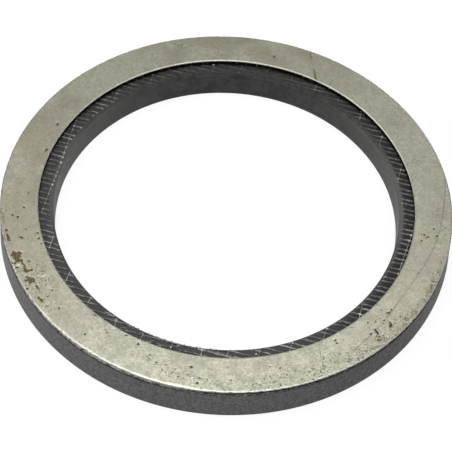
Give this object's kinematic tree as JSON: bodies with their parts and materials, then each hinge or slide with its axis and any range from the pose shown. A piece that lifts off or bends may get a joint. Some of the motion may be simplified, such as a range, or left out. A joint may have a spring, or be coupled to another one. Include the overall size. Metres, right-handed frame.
{
  "type": "ring gasket",
  "caption": "Flat round gasket: a stamped steel face ring on a moulded ring, with an inner ledge that shows the cords of its fabric ply.",
  "frame": {"origin": "centre of the ring on its base", "axes": "+Z along the ring's axis, from the base to the steel face; the picture looks along +Y from above"},
  "size_m": [0.1302, 0.1302, 0.0104],
  "materials": {
    "face_steel": "dull worn steel with pits, rust spots and a bright rolled edge",
    "moulded_rubber": "matt dark grey moulding",
    "corded_fabric": "dark rubbered fabric with pale cords"
  },
  "bodies": {
    "root": {"steel_face_ring": "face_steel", "moulded_body": "moulded_rubber", "fabric_ply": "corded_fabric"}
  },
  "joints": []
}
